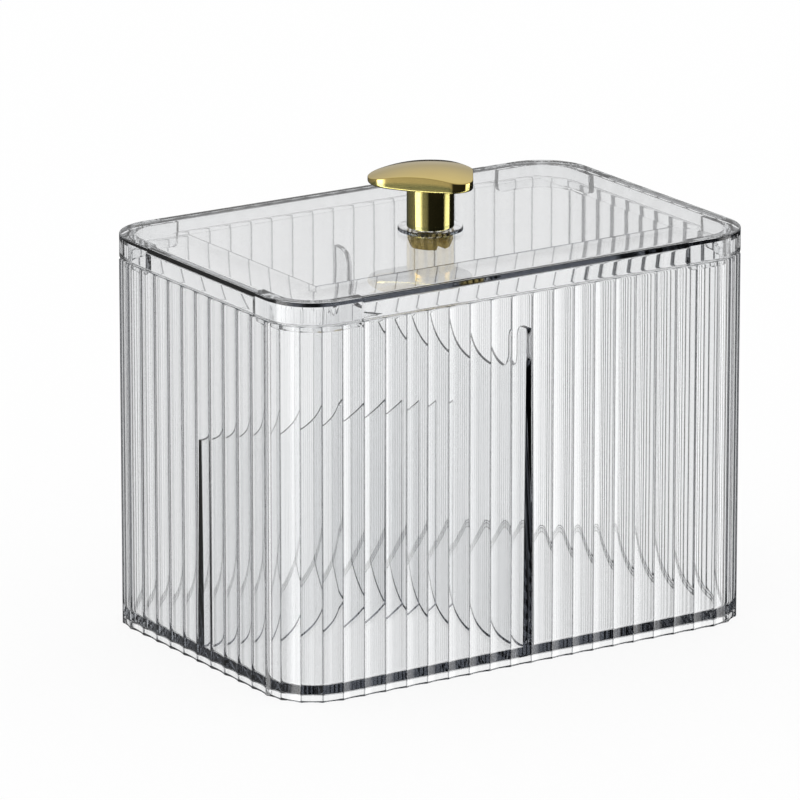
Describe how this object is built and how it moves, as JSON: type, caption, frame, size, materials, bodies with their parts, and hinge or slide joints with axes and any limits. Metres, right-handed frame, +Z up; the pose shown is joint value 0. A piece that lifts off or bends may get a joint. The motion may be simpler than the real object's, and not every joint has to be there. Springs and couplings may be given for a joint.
{
  "type": "lidded storage box",
  "caption": "Clear fluted box with compartments for cotton swabs and pads, closed by a lift-off lid with a gold knob.",
  "frame": {"origin": "on the ground under the middle of the box", "axes": "+X along the length, +Y from front to back, +Z up"},
  "size_m": [0.135, 0.09, 0.115],
  "materials": {
    "clear_plastic": "clear, polished",
    "gold_plating": "plated pale gold, polished"
  },
  "bodies": {
    "box": {"box": "clear_plastic"},
    "lid": {"lid": "clear_plastic", "knob": "gold_plating"}
  },
  "joints": [
    {"name": "lid_lift", "type": "slide", "parent": "box", "child": "lid", "axis": [0, 0, 1], "range_m": [0, 0.08]}
  ]
}
